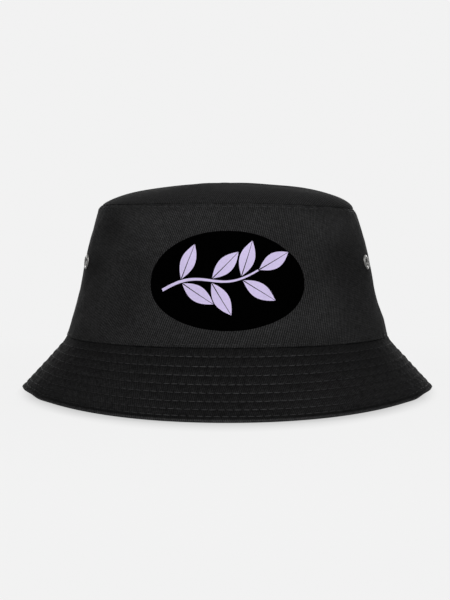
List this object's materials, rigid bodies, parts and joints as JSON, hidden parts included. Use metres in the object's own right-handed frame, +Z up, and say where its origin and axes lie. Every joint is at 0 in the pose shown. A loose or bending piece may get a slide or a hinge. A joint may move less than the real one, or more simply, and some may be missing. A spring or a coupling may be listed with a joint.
{
  "type": "bucket hat",
  "caption": "Soft cotton bucket hat with a tapered crown, a domed top, a short sloping brim sewn in close rows, metal vent eyelets and a leaf print on the front.",
  "frame": {"origin": "on the surface the hat stands on, under the middle of the hat", "axes": "+X to the wearer's left, which is on the right as the hat is seen from the front, +Z up through the crown, and the front of the hat faces -Y"},
  "size_m": [0.2596, 0.2132, 0.1379],
  "materials": {
    "crown_twill": "washed cotton twill, charcoal black, matt",
    "brim_twill": "cotton twill, black, matt, close rows of stitching",
    "band_cotton": "plain black cotton",
    "tape": "black woven tape",
    "interlining": "stiff white non-woven",
    "thread": "spun polyester sewing thread, dark grey",
    "label_satin": "white satin ribbon, blank",
    "nickel": "nickel plated brass, polished",
    "print_black": "transfer print film, black",
    "print_lilac": "transfer print film, pale lilac"
  },
  "bodies": {
    "hat": {"crown_top_panel": "crown_twill", "crown_front_panel": "crown_twill", "crown_back_panel": "crown_twill", "top_seam_binding": "tape", "side_seam_tape_left": "tape", "side_seam_tape_right": "tape", "brim_upper_front": "brim_twill", "brim_upper_back": "brim_twill", "brim_interlining_front": "interlining", "brim_interlining_back": "interlining", "brim_under_front": "brim_twill", "brim_under_back": "brim_twill", "sweatband": "band_cotton", "sweatband_stitch": "thread", "crown_base_topstitch": "thread", "crown_top_topstitch": "thread", "brim_stitch_row_1": "thread", "brim_stitch_row_2": "thread", "brim_stitch_row_3": "thread", "brim_stitch_row_4": "thread", "brim_stitch_row_5": "thread", "brim_stitch_row_6": "thread", "brim_stitch_row_7": "thread", "brim_stitch_row_8": "thread", "eyelet_front_left": "nickel", "eyelet_front_right": "nickel", "eyelet_back_left": "nickel", "eyelet_back_right": "nickel", "eyelet_washer_front_left": "nickel", "eyelet_washer_front_right": "nickel", "eyelet_washer_back_left": "nickel", "eyelet_washer_back_right": "nickel", "print_ground": "print_black", "print_stem": "print_lilac", "print_leaf_1": "print_lilac", "print_leaf_2": "print_lilac", "print_leaf_3": "print_lilac", "print_leaf_4": "print_lilac", "print_leaf_5": "print_lilac", "print_leaf_6": "print_lilac", "print_leaf_7": "print_lilac"},
    "care_label": {"care_label": "label_satin"}
  },
  "joints": [
    {"name": "care_label_flip", "type": "hinge", "parent": "hat", "child": "care_label", "pos_m": [0, 0.0804, 0.06775], "axis": [-1, 0, 0], "range_deg": [-10, 150]}
  ]
}
